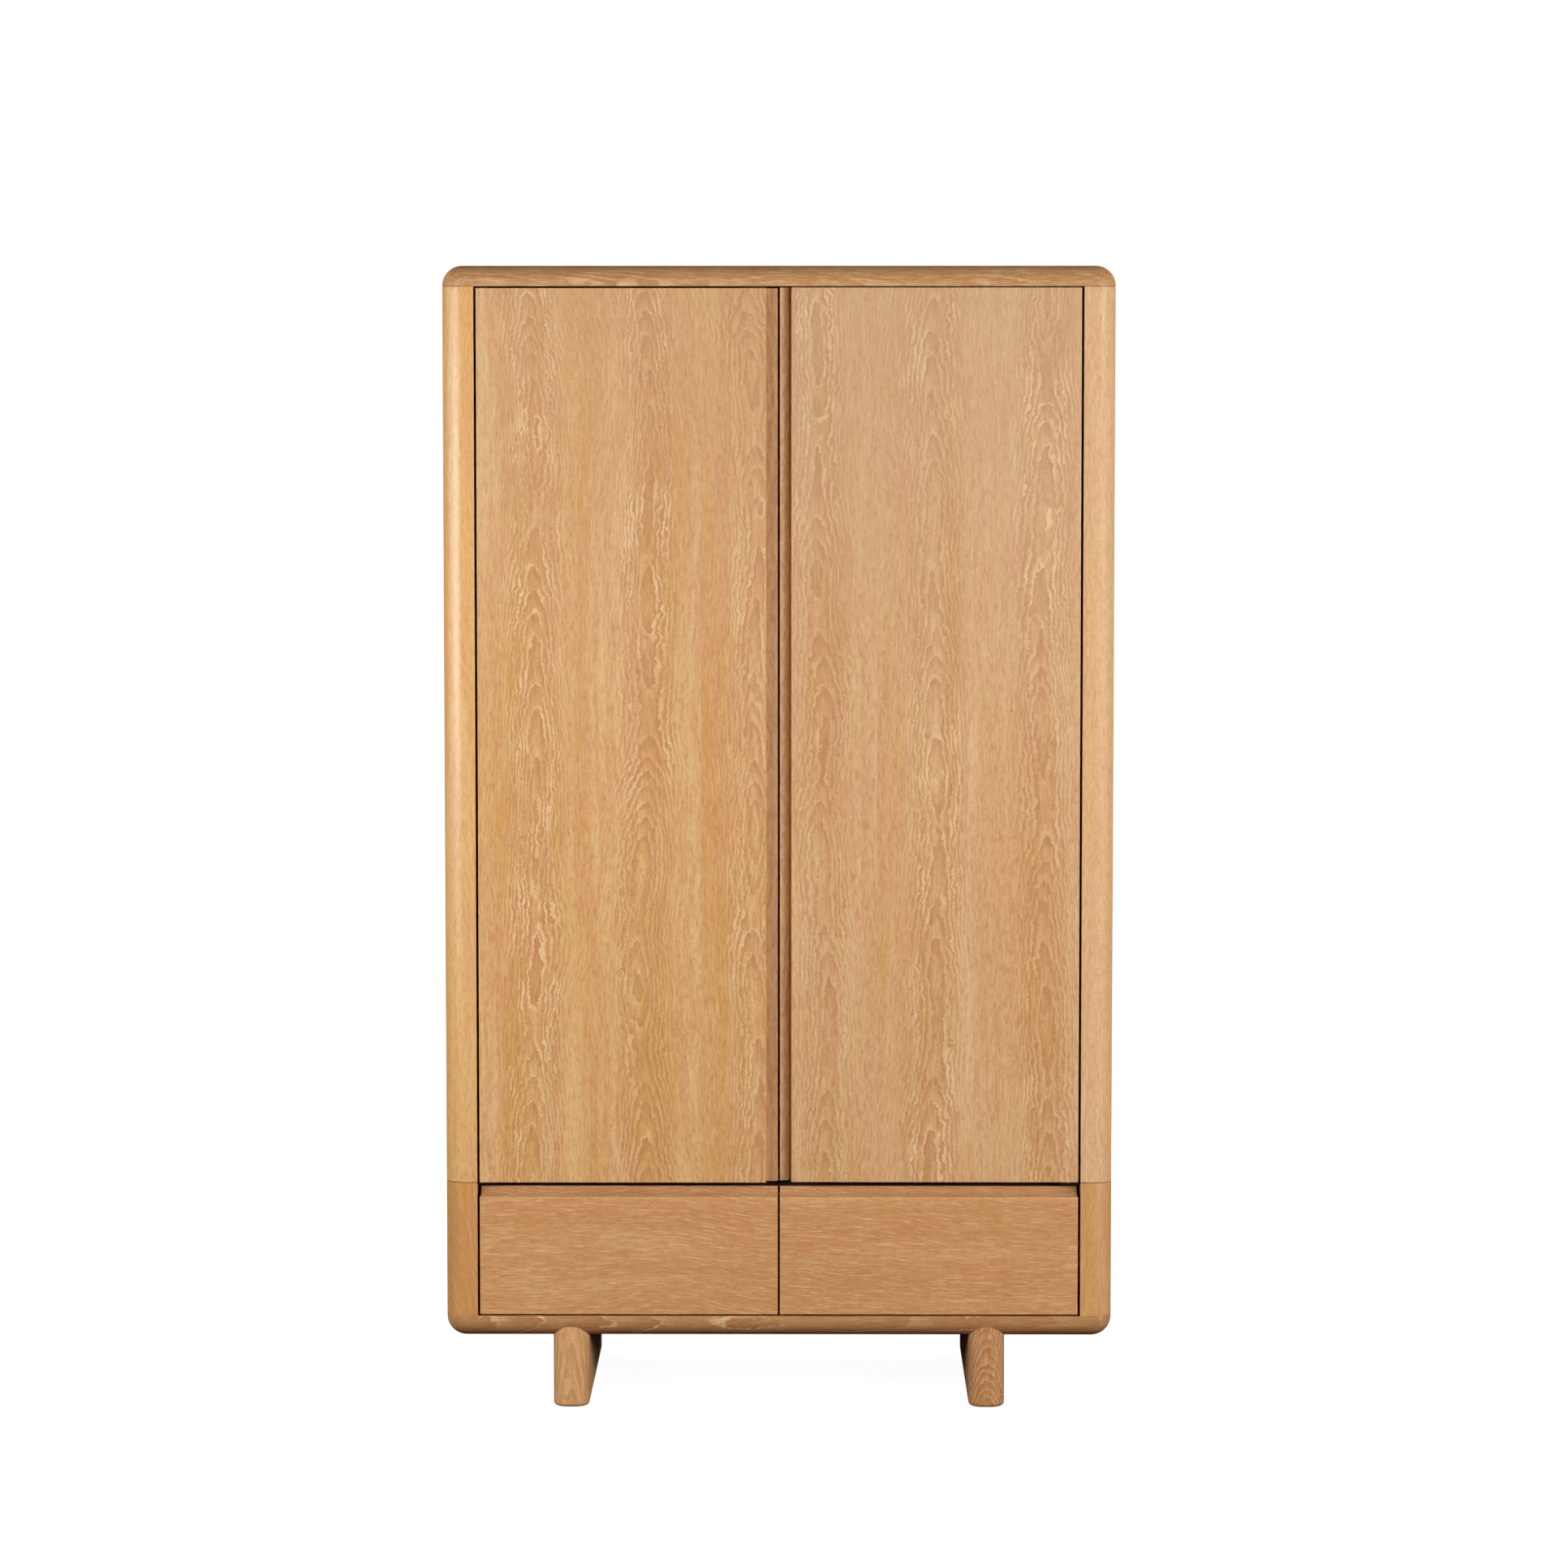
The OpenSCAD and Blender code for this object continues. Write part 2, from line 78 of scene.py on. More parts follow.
# The photograph's camera: its place in metres, its angles in degrees, its lens in millimetres.
CAMERA_AT = (0.0561, -8.650, 1.697)
CAMERA_DOWN = 4.451
CAMERA_TURN = 0.325
LENS = 116.4
SENSOR = 36.0

# The studio, in metres: the floor's and dome's radii, the dome's glow, and where the lamps aim.
# The floor's glow rises from the third value to the fourth between the first two distances; its dimmer middle is a
# painted contact shadow under the piece.
FLOOR_RADIUS = 29.0
DOME_RADIUS = 30.0
DOME_GLOW = 1.02
FLOOR_PAINTED_SHADOW = (0.9, 3.0, 0.965, 1.0)
MIDDLE = (0.0, 0.0, 1.25)


def linear(red, green, blue):
    """Scene-linear colour of 8-bit sRGB values."""
    values = []
    for level in (red, green, blue):
        share = level / 255
        values.append(share / 12.92 if share <= 0.04045 else ((share + 0.055) / 1.055) ** 2.4)
    return (*values, 1.0)


# ---------------------------------------------------------------- shapes

def rounded(points, radii, steps=ARC_STEPS):
    """Outline with each corner turned into an arc of its own radius; radius 0 keeps the corner."""
    outline = []
    for i, radius in enumerate(radii):
        corner = Vector(points[i])
        if radius == 0:
            outline.append(corner)
            continue
        before = (Vector(points[i - 1]) - corner).normalized()
        after = (Vector(points[(i + 1) % len(points)]) - corner).normalized()
        centre = corner + (before + after) * radius
        for step in range(steps + 1):
            angle = math.pi / 2 * step / steps
            outline.append(centre - after * radius * math.cos(angle) - before * radius * math.sin(angle))
    return outline


def circle(centre, radius, steps=48):
    """Round outline."""
    turns = [2 * math.pi * i / steps for i in range(steps)]
    return [Vector(centre) + radius * Vector((math.cos(a), math.sin(a))) for a in turns]


def new_piece(name, bm):
    """Object made from a bmesh, shaded smooth."""
    bmesh.ops.recalc_face_normals(bm, faces=bm.faces)
    for face in bm.faces:
        face.smooth = True
    mesh = bpy.data.meshes.new(name)
    bm.to_mesh(mesh)
    bm.free()
    piece = bpy.data.objects.new(name, mesh)
    bpy.context.scene.collection.objects.link(piece)
    return piece


def prism(name, outline, axis, low, high):
    """Solid that draws an outline along one axis, from low to high."""
    across = [i for i in range(3) if i != axis]
    bm = bmesh.new()
    ends = []
    for place in (low, high):
        ring = []
        for point in outline:
            corner = [place] * 3
            corner[across[0]] = point[0]
            corner[across[1]] = point[1]
            ring.append(bm.verts.new(corner))
        ends.append(ring)
        bm.faces.new(ring)
    for i in range(len(outline)):
        bm.faces.new((ends[0][i - 1], ends[0][i], ends[1][i], ends[1][i - 1]))
    return new_piece(name, bm)


def loft(name, rings):
    """Solid through rings of points; each ring is mirror-symmetric from its first point to its last."""
    bm = bmesh.new()
    loops = [[bm.verts.new(point) for point in ring] for ring in rings]
    for lower, upper in zip(loops, loops[1:]):
        for i in range(len(lower)):
            bm.faces.new((lower[i - 1], lower[i], upper[i], upper[i - 1]))
    for loop in (loops[0], loops[-1]):
        for i in range(len(loop) // 2 - 1):
            bm.faces.new((loop[i], loop[i + 1], loop[-2 - i], loop[-1 - i]))
    bmesh.ops.remove_doubles(bm, verts=bm.verts, dist=1e-6)
    return new_piece(name, bm)


def settle(piece):
    """Makes the modifiers' result the piece's own mesh."""
    bpy.context.view_layer.update()
    evaluated = piece.evaluated_get(bpy.context.evaluated_depsgraph_get())
    piece.data = bpy.data.meshes.new_from_object(evaluated)
    piece.modifiers.clear()


def carve(piece, *cutters):
    """Cuts the cutters out of a piece and removes them."""
    for cutter in cutters:
        cut = piece.modifiers.new("cut", "BOOLEAN")
        cut.object = cutter
        cut.solver = "EXACT"
    settle(piece)
    for cutter in cutters:
        bpy.data.objects.remove(cutter)


def ease_edges(piece, width, segments=3):
    """Rounds the sharp edges by a small radius, and keeps the flat faces' shading flat."""
    bevel = piece.modifiers.new("arris", "BEVEL")
    bevel.width = width
    bevel.segments = segments
    bevel.limit_method = "ANGLE"
    bevel.angle_limit = math.radians(35)
    bevel.use_clamp_overlap = False
    piece.modifiers.new("flats", "WEIGHTED_NORMAL")
    settle(piece)


def place(piece, body, node, slot, material):
    """Puts a piece on its body, in place of its CAD node, with its finish."""
    piece.data.materials.clear()
    piece.data.materials.append(material)
    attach(piece, body)
    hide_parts(node)


def box_piece(name, node, width):
    """Eased board that fills a CAD node's box."""
    low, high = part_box(node)
    outline = [(low.x, low.y), (high.x, low.y), (high.x, high.y), (low.x, high.y)]
    piece = prism(name, outline, 2, low.z, high.z)
    ease_edges(piece, width)
    return piece


# ---------------------------------------------------------------- node graphs

class Graph:
    """Short names for the nodes of one material."""

    def __init__(self, name):
        self.material = bpy.data.materials.new(name)
        self.material.use_nodes = True
        self.tree = self.material.node_tree
        self.tree.nodes.clear()
        self.shader = self.tree.nodes.new("ShaderNodeBsdfPrincipled")
        output = self.tree.nodes.new("ShaderNodeOutputMaterial")
        self.tree.links.new(self.shader.outputs[0], output.inputs["Surface"])

    def feed(self, socket, value):
        """Links a socket to another node's output, or sets its own value."""
        if isinstance(value, bpy.types.NodeSocket):
            self.tree.links.new(value, socket)
        else:
            socket.default_value = value

    def node(self, kind, inputs, **settings):
        made = self.tree.nodes.new(kind)
        for key, value in settings.items():
            setattr(made, key, value)
        for key, value in inputs.items():
            self.feed(made.inputs[key], value)
        return made

    def math(self, operation, *values):
        inputs = dict(enumerate(values))
        return self.node("ShaderNodeMath", inputs, operation=operation).outputs[0]

    def vector(self, x, y, z):
        return self.node("ShaderNodeCombineXYZ", {"X": x, "Y": y, "Z": z}).outputs[0]

    def point(self):
        """The surface point in the object's own coordinates, in metres, as X, Y and Z."""
        coordinates = self.tree.nodes.new("ShaderNodeTexCoord").outputs["Object"]
        return self.node("ShaderNodeSeparateXYZ", {"Vector": coordinates}).outputs

    def noise(self, vector, scale=1.0, detail=2.0, roughness=0.5):
        inputs = {"Vector": vector, "Scale": scale, "Detail": detail, "Roughness": roughness}
        return self.node("ShaderNodeTexNoise", inputs).outputs["Fac"]

    def noises(self, vector, detail=2.0, roughness=0.5):
        """Three noise values that don't depend on each other."""
        inputs = {"Vector": vector, "Scale": 1.0, "Detail": detail, "Roughness": roughness}
        made = self.node("ShaderNodeTexNoise", inputs)
        return self.node("ShaderNodeSeparateColor", {"Color": made.outputs["Color"]}).outputs

    def range(self, value, low, high, to_low=0.0, to_high=1.0, kind="SMOOTHSTEP"):
        """Maps a value from low..high to to_low..to_high, held at the ends."""
        inputs = {0: value, 1: low, 2: high, 3: to_low, 4: to_high}
        return self.node("ShaderNodeMapRange", inputs, interpolation_type=kind).outputs[0]

    def mix(self, factor, first, second):
        inputs = {"Factor": factor, 6: first, 7: second}
        return self.node("ShaderNodeMix", inputs, data_type="RGBA").outputs[2]

    def set(self, **values):
        """Sets or links the shader's own sockets; an underscore stands for a space."""
        for key, value in values.items():
            self.feed(self.shader.inputs[key.replace("_", " ")], value)

    def bump(self, height, distance, strength=1.0):
        inputs = {"Height": height, "Distance": distance, "Strength": strength}
        self.set(Normal=self.node("ShaderNodeBump", inputs).outputs[0])


AXES = {"x": 0, "y": 1, "z": 2}

# How finely each noise varies, per metre across the grain and per metre along it.
JAG_RATES = (75.0, 52.0)
SWELL_RATES = (70.0, 26.0)
PATCH_RATES = (34.0, 9.0)
FIBRE_RATES = (1100.0, 420.0)
MOTTLE_RATES = (190.0, 60.0)
TINT_RATES = (95.0, 5.0)
BAND_RATES = (17.0, 0.8)
KNOT_RATES = (5.0, 2.6)

# Half-widths of a leaf's lively middle, in metres: full figure inside the first, calm past the second.
ZONE = (0.026, 0.060)
# How far the jags push a growth line sideways and along the grain, in metres.
JAG_SIDE = 0.020
JAG_LIFT = 0.07
# How much of the jags stays in the calm grain.
JAG_REST = 0.2

# Figures and tones that differ from the doors' flat-sawn leaves.
CALM = {"line": 0.16, "pore": 0.25, "jag": 0.3, "late": 0.10, "mottle": 0.30}
# The upper posts' paler tones are partly the boards' own and partly painted light, where the lamps fall more
# strongly.
POST = {
    "left_upper": {
        "gloss": 0.34, "shine": 0.6,
        "pale": linear(232, 188, 125), "gold": linear(234, 183, 108), "rosy": linear(230, 175, 114),
    },
    "left_lower": {"pale": linear(210, 155, 91), "gold": linear(210, 150, 78), "rosy": linear(206, 143, 82)},
    "right_upper": {
        "gloss": 0.55, "shine": 0.4,
        "pale": linear(230, 191, 144), "gold": linear(230, 185, 130), "rosy": linear(228, 179, 134),
    },
    "right_lower": {
        "pale": linear(220, 168, 114), "gold": linear(217, 162, 98), "rosy": linear(214, 154, 99),
    },
}
# The drawers' front boards: darker, greyer tones that are painted shade of the recess under the doors.
RECESS_SHADE_TONES = {
    "pore": 0.4,
    "pale": linear(202, 153, 108), "gold": linear(196, 144, 98), "rosy": linear(190, 137, 100),
}
# The lips behind the doors' meeting edges; the right lip's much paler tones are painted light against the shade
# cast into its recess.
LIP_TONES_AND_PAINTED_LIGHT = {
    "left": {
        "line": 0.4,
        "pale": linear(227, 181, 131), "gold": linear(220, 170, 116), "rosy": linear(212, 159, 113),
    },
    "right": {
        "line": 0.4,
        "pale": linear(254, 217, 165), "gold": linear(252, 209, 153), "rosy": linear(250, 201, 150),
    },
}
FLANK = {
    "line": 0.2, "pore": 0.65, "fine": 950.0, "long": 36.0, "wander": 0.065, "wander_length": 0.45,
    "jag": 0.3, "late": 0.15, "mottle": 0.30, "climb": 0.0, "slope": 0.05,
    "pale": linear(217, 165, 110), "gold": linear(207, 149, 91), "rosy": linear(210, 146, 95),
    "deep": linear(158, 96, 53),
}
RAIL = {"pale": linear(206, 158, 108), "gold": linear(196, 146, 92), "rosy": linear(198, 144, 98)}
ZIGZAG = {"ring": 0.017, "line_width": 0.0065, "line": 1.25, "heart": 0.03, "climb": 0.1, "jag": 1.2}
CHEVRON = {"wander": 0.02, "sway": 0.0, "jag": 0.5}
LEG = {
    "left": {
        "ring": 0.009, "heart": 0.012, "climb": 0.14, "line": 0.5, "late": 0.35,
        "pale": linear(240, 192, 136), "gold": linear(232, 178, 116), "rosy": linear(230, 174, 122),
    },
    "right": {
        "ring": 0.0074, "heart": 0.006, "climb": 0.44, "line": 1.1, "line_width": 0.0030, "late": 0.75,
        "pale": linear(214, 164, 112), "gold": linear(206, 151, 94), "rosy": linear(208, 150, 100),
    },
}
# The doors' ground mixes to a paler tone towards the top: a painted sheen, stronger on the right door.
DOOR = {
    "left": {
        "fade": (0.9, 1.9, 0.0, 0.26),
        "pale": linear(226, 183, 123), "gold": linear(212, 159, 87), "rosy": linear(217, 158, 107),
    },
    "right": {
        "fade": (0.9, 1.9, 0.0, 0.42),
        "pale": linear(225, 187, 137), "gold": linear(212, 162, 101), "rosy": linear(218, 164, 120),
    },
}
INNER = {"fold": 0.055, "line": 0.7}


class Oak:
    """Limed oak: where its growth rings lie in a board, and its tones. Lengths are in metres."""

    def __init__(self, grain, across, seed, **changes):
        self.grain = AXES[grain]
        self.across = AXES[across]
        self.depth = 3 - self.grain - self.across
        self.seed = seed
        # The board: where its face lies, the width of a leaf of veneer, and the middle of one leaf.
        self.face = 0.0
        self.leaf = 0.185
        self.centre = 0.0
        # The rings: the heart's depth behind the face, the climb along the grain and the spacing.
        # A fold repeats their depth inside a deep board.
        self.heart = 0.020
        self.climb = 0.06
        self.ring = 0.0062
        self.fold = None
        # The rings' wandering and its length, the leaf's sway, the slope of the grain, and the jags.
        self.wander = 0.055
        self.wander_length = 0.26
        self.sway = 0.05
        self.slope = 0.0
        self.jag = 1.0
        # The lime: width and strength of the line at each ring, strength and rates of the pores.
        self.line_width = 0.0028
        self.line = 1.0
        self.pore = 0.42
        self.fine = 560.0
        self.long = 30.0
        # The dark tone in the late wood and in the mottle.
        self.late = 0.40
        self.mottle = 0.42
        # The finish: roughness and specular level; a mix to another tone with height, which paints sheen on the
        # doors and shade on the base; and a near-black strip on the front edge, painted shade in a gap.
        self.gloss = 0.44
        self.shine = 0.5
        self.fade = None
        self.painted_height_tone = linear(198, 162, 130)
        self.painted_gap_shade = None
        # The tones.
        self.pale = linear(223, 176, 116)
        self.gold = linear(212, 159, 92)
        self.rosy = linear(214, 157, 103)
        self.deep = linear(168, 104, 50)
        self.cream = linear(234, 197, 148)
        for key, value in changes.items():
            setattr(self, key, value)


class Spot:
    """Where a surface point lies in its board of oak."""

    def __init__(self, g, oak):
        point = g.point()
        self.depth = point[oak.depth]
        self.across = point[oak.across]
        height = point[oak.grain]
        cell = g.math("DIVIDE", g.math("SUBTRACT", self.across, oak.centre), oak.leaf)
        leaf = g.math("FLOOR", g.math("ADD", cell, 0.5))
        local = g.math("MULTIPLY", g.math("SUBTRACT", cell, leaf), oak.leaf)
        along = g.math("MULTIPLY_ADD", leaf, 1.37, g.math("ADD", height, oak.seed * 3.1))
        local = g.math("MULTIPLY_ADD", along, oak.slope, local)

        slow = g.noise(self.stretched(g, local, along, 6.0, 1 / oak.wander_length), detail=1.0)
        drift = g.noises(self.stretched(g, leaf, along, 1.0, 2.4), detail=1.0)
        local = g.math("MULTIPLY_ADD", g.math("SUBTRACT", drift[0], 0.5), oak.sway, local)
        self.zone = g.range(g.math("ABSOLUTE", local), *ZONE, 1.0, 0.0)
        jags = g.noises(self.stretched(g, local, along, *JAG_RATES), detail=3.0, roughness=0.62)
        share = g.math("MULTIPLY_ADD", self.zone, oak.jag * (1 - JAG_REST), oak.jag * JAG_REST)
        lift = g.math("MULTIPLY", g.math("SUBTRACT", jags[1], 0.5), share)
        shift = g.math("MULTIPLY", g.math("SUBTRACT", jags[0], 0.5), share)
        self.along = g.math("MULTIPLY_ADD", lift, JAG_LIFT, along)
        side = g.math("MULTIPLY_ADD", shift, JAG_SIDE, local)
        self.flow = g.math("MULTIPLY_ADD", g.math("SUBTRACT", slow, 0.5), oak.wander, local)
        self.lively = g.range(drift[2], 0.36, 0.64, 0.35, 1.0)

        heart = g.math("MULTIPLY_ADD", g.math("SUBTRACT", drift[1], 0.5), oak.heart * 2.4, oak.heart)
        below = g.math("SUBTRACT", self.depth, oak.face)
        if oak.fold:
            below = g.math("FLOORED_MODULO", below, oak.fold)
        inner = g.math("ADD", below, g.math("MAXIMUM", heart, oak.heart * 0.3))
        squares = g.math("ADD", g.math("MULTIPLY", side, side), g.math("MULTIPLY", inner, inner))
        radius = g.math("SQRT", squares)
        level = max(0.16, oak.climb)
        self.steep = g.math("MAXIMUM", g.math("DIVIDE", g.math("ABSOLUTE", side), radius), level)
        reach = g.math("MULTIPLY_ADD", g.math("SUBTRACT", slow, 0.5), oak.wander, radius)
        rings = g.math("MULTIPLY_ADD", self.along, oak.climb, reach)
        self.phase = g.math("FRACT", g.math("DIVIDE", rings, oak.ring))

    def stretched(self, g, across, along, fine, long):
        """Noise coordinates with their own rate along the grain."""
        scaled = [g.math("MULTIPLY", across, fine), g.math("MULTIPLY", self.depth, fine)]
        return g.vector(*scaled, g.math("MULTIPLY", along, long))

    def grain(self, g, fine, long, **settings):
        """Noise drawn out along the grain."""
        return g.noise(self.stretched(g, self.flow, self.along, fine, long), **settings)

    def broad(self, g, fine, long, **settings):
        """Noise that runs on from one leaf to the next."""
        return g.noise(self.stretched(g, self.across, self.along, fine, long), **settings)


def limed_lines(g, oak, spot, streak):
    """Share of lime in the open grain: a thin line at each ring, and short pores between."""
    swell = g.range(spot.grain(g, *SWELL_RATES), 0.35, 0.65, 0.45, 1.7)
    width = g.math("MULTIPLY", g.math("MULTIPLY", spot.steep, swell), oak.line_width / oak.ring)
    across = g.math("DIVIDE", spot.phase, width)
    early = g.math("MULTIPLY", g.range(across, 0.0, 0.2), g.range(across, 0.6, 1.4, 1.0, 0.0))
    patch = spot.grain(g, *PATCH_RATES, roughness=0.6)
    open_grain = g.math("MULTIPLY_ADD", spot.zone, 0.7, 0.3)
    clear = g.math("MULTIPLY", g.range(patch, 0.40, 0.58, 0.2, 1.0), open_grain)
    line = g.math("MULTIPLY", g.math("MULTIPLY", early, clear), g.range(streak, 0.30, 0.60, 0.5, 1.0))
    pores = g.math("MULTIPLY", g.range(streak, 0.50, 0.68), g.math("MULTIPLY_ADD", early, 0.4, 0.6))
    line = g.math("MULTIPLY", line, spot.lively)
    return g.math("MAXIMUM", g.math("MULTIPLY", line, oak.line * 0.85), g.math("MULTIPLY", pores, oak.pore))


def oak_material(name, oak):
    g = Graph(name)
    spot = Spot(g, oak)
    streak = spot.grain(g, oak.fine, oak.long, roughness=0.55)
    fibre = spot.grain(g, *FIBRE_RATES, detail=1.0)
    mottle = spot.grain(g, *MOTTLE_RATES, detail=3.0, roughness=0.7)
    tint = spot.grain(g, *TINT_RATES, roughness=0.6)
    band = spot.broad(g, *BAND_RATES, roughness=0.6)
    limed = limed_lines(g, oak, spot, streak)
    late = g.math("MULTIPLY", g.range(spot.phase, 0.25, 0.95), spot.zone)

    ground = g.mix(g.range(band, 0.36, 0.64), oak.gold, oak.pale)
    ground = g.mix(g.range(tint, 0.42, 0.60, 0.0, 0.8), ground, oak.rosy)
    ground = g.mix(g.range(mottle, 0.38, 0.70, 0.0, oak.mottle), ground, oak.deep)
    ground = g.mix(g.math("MULTIPLY", late, oak.late), ground, oak.deep)
    ground = g.mix(g.range(fibre, 0.35, 0.75, 0.0, 0.30), ground, oak.deep)
    # Mix to another tone with height: painted sheen on the doors, painted shade on the base.
    if oak.fade:
        ground = g.mix(g.range(g.point()[2], *oak.fade), ground, oak.painted_height_tone)
    colour = knots(g, spot, g.mix(limed, ground, oak.cream))
    # Near-black strip on the board's front edge: painted shade in the gap under the doors.
    if oak.painted_gap_shade:
        colour = g.mix(g.range(g.point()[1], *oak.painted_gap_shade, 1.0, 0.0), colour, linear(30, 16, 8))
    g.set(Base_Color=colour)
    sheen = g.range(band, 0.3, 0.7, oak.gloss - 0.03, oak.gloss + 0.04)
    g.set(Roughness=g.math("MULTIPLY_ADD", limed, 0.12, sheen))
    g.set(Specular_IOR_Level=oak.shine)
    g.bump(g.math("MULTIPLY_ADD", fibre, 0.35, g.math("MULTIPLY", limed, -1.0)), 0.0002, 0.6)
    return g.material


def knots(g, spot, colour):
    """Pin knots: small dark eyes with a soft halo, a few to each square metre."""
    at = spot.stretched(g, spot.across, spot.along, *KNOT_RATES)
    found = g.node("ShaderNodeTexVoronoi", {"Vector": at, "Scale": 1.0}, feature="F1").outputs["Distance"]
    colour = g.mix(g.range(found, 0.01, 0.05, 0.3, 0.0), colour, linear(178, 118, 70))
    return g.mix(g.range(found, 0.006, 0.014, 0.85, 0.0), colour, linear(84, 48, 26))


def metal_material(name, colour, roughness, along):
    """Plated or turned metal with fine marks along one axis and a cloudy sheen."""
    g = Graph(name)
    point = g.point()
    scales = [700.0, 700.0, 700.0]
    scales[AXES[along]] = 25.0
    marks_at = g.vector(*[g.math("MULTIPLY", point[i], scales[i]) for i in range(3)])
    marks = g.noise(marks_at, detail=2.0)
    cloud = g.noise(g.vector(point[0], point[1], point[2]), scale=45.0, detail=3.0)
    bright = tuple(min(1.0, level * 1.12) for level in colour[:3]) + (1.0,)
    dull = tuple(level * 0.8 for level in colour[:3]) + (1.0,)
    g.set(Base_Color=g.mix(g.range(cloud, 0.3, 0.7), dull, bright))
    g.set(Metallic=1.0)
    g.set(Roughness=g.math("MULTIPLY_ADD", marks, 0.2, roughness))
    g.bump(marks, 0.00004, 0.5)
    return g.material


def plastic_material(name, colour):
    """Moulded plastic with a fine spark texture."""
    g = Graph(name)
    point = g.point()
    grain = g.noise(g.vector(point[0], point[1], point[2]), scale=2600.0, detail=2.0)
    cloud = g.noise(g.vector(point[0], point[1], point[2]), scale=60.0, detail=2.0)
    light = tuple(level * 1.35 for level in colour[:3]) + (1.0,)
    g.set(Base_Color=g.mix(g.range(cloud, 0.3, 0.7), colour, light))
    g.set(Roughness=g.range(grain, 0.3, 0.7, 0.48, 0.62))
    g.bump(grain, 0.00006, 0.5)
    return g.material


# ---------------------------------------------------------------- body

def edge_slab(name, upright, rounding, end_z):
    """Full-size panel: its rim is upright from upright to rounding, and rounds over to end_z."""
    low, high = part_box("top_panel")
    grow = 1 if end_z > rounding else -1
    rims = [(0.0, upright)]
    for step in range(ARC_STEPS + 1):
        angle = math.pi / 2 * step / ARC_STEPS
        rims.append((BODY_R * (1 - math.cos(angle)), rounding + grow * BODY_R * math.sin(angle)))
    rings = []
    for inset, z in rims:
        chain = [Vector((low.x + inset, high.y, z))]
        for step in range(ARC_STEPS + 1):
            angle = math.pi / 2 * step / ARC_STEPS
            x = low.x + BODY_R - (BODY_R - inset) * math.cos(angle)
            y = low.y + BODY_R - (BODY_R - inset) * math.sin(angle)
            chain.append(Vector((x, y, z)))
        mirrored = [Vector((-point.x, point.y, point.z)) for point in reversed(chain)]
        rings.append(chain + mirrored)
    return loft(name, rings)


def rebate_cutter(low_z, high_z):
    """Space behind the body that the back boards fill."""
    low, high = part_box("upper_back")
    half = high.x + REBATE_PLAY
    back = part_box("top_panel")[1].y + 0.01
    outline = [(-half, low.y), (half, low.y), (half, back), (-half, back)]
    return prism("rebate", outline, 2, low_z, high_z)


def build_panels(materials):
    back_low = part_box("lower_back")[0].z - REBATE_PLAY
    back_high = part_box("upper_back")[1].z + REBATE_PLAY
    low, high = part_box("top_panel")
    top = edge_slab("top", low.z, high.z - BODY_R, high.z)
    carve(top, rebate_cutter(low.z - 0.01, back_high))
    ease_edges(top, HAIR)
    place(top, "carcass", "top_panel", "oak_solid", materials["top"])
    low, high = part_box("base_panel")
    base = edge_slab("base", high.z, low.z + BODY_R, low.z)
    carve(base, rebate_cutter(back_low, high.z + 0.01))
    ease_edges(base, HAIR)
    place(base, "carcass", "base_panel", "oak_solid", materials["base"])


def outer_inner(node):
    """A side piece's outer and inner X."""
    low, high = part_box(node)
    return (low.x, high.x) if high.x < 0 else (high.x, low.x)


def build_posts(materials):
    for side in SIDES:
        for level in LEVELS:
            node = f"{side}_{level}_post"
            low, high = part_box(node)
            outer, inner = outer_inner(node)
            corners = [(outer, low.y), (inner, low.y), (inner, high.y), (outer, high.y)]
            outline = rounded(corners, [BODY_R, 0, 0, 0])
            foot = low.z + (JOINT_GAP if level == "upper" else 0.0)
            head = high.z - (JOINT_GAP / 2 if level == "upper" else 0.0)
            post = prism(f"{side}_{level}_front_post", outline, 2, foot, head)
            ease_edges(post, BOARD_ARRIS)
            place(post, "carcass", node, "oak_solid", materials[f"{side}_{level}_post"])


def build_side_boards(materials):
    rebate_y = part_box("upper_back")[0].y
    for side in SIDES:
        for level in LEVELS:
            node = f"{side}_{level}_side"
            low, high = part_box(node)
            outer, inner = outer_inner(node)
            step = math.copysign(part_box("upper_back")[1].x + REBATE_PLAY, outer)
            outline = [(outer, low.y), (inner, low.y), (inner, rebate_y)]
            outline += [(step, rebate_y), (step, high.y), (outer, high.y)]
            foot = low.z + (JOINT_GAP if level == "upper" else 0.0)
            board = prism(f"{side}_{level}_board", outline, 2, foot, high.z)
            ease_edges(board, HAIR)
            place(board, "carcass", node, "oak_veneer", materials[f"{side}_board"])


def build_legs(materials):
    for side in SIDES:
        node = f"{side}_leg"
        low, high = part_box(node)
        middle = (low.x + high.x) / 2
        half = (high.x - low.x) / 2
        rims = []
        for step in range(SMALL_ARC_STEPS + 1):
            angle = math.pi / 2 * step / SMALL_ARC_STEPS
            rims.append((LEG_ARRIS * (1 - math.sin(angle)), low.z + LEG_ARRIS * (1 - math.cos(angle))))
        rings = []
        for inset, z in rims:
            rings.append([Vector((x, y, z)) for x, y in leg_outline(middle, half, low.y, high.y, inset)])
        top = leg_outline(middle, half, low.y, high.y, 0.0)
        rings.append([Vector((x, y, leg_top(y))) for x, y in top])
        leg = loft(f"{side}_plank_leg", rings)
        ease_edges(leg, HAIR)
        place(leg, "carcass", node, "oak_solid", materials[f"{side}_leg"])


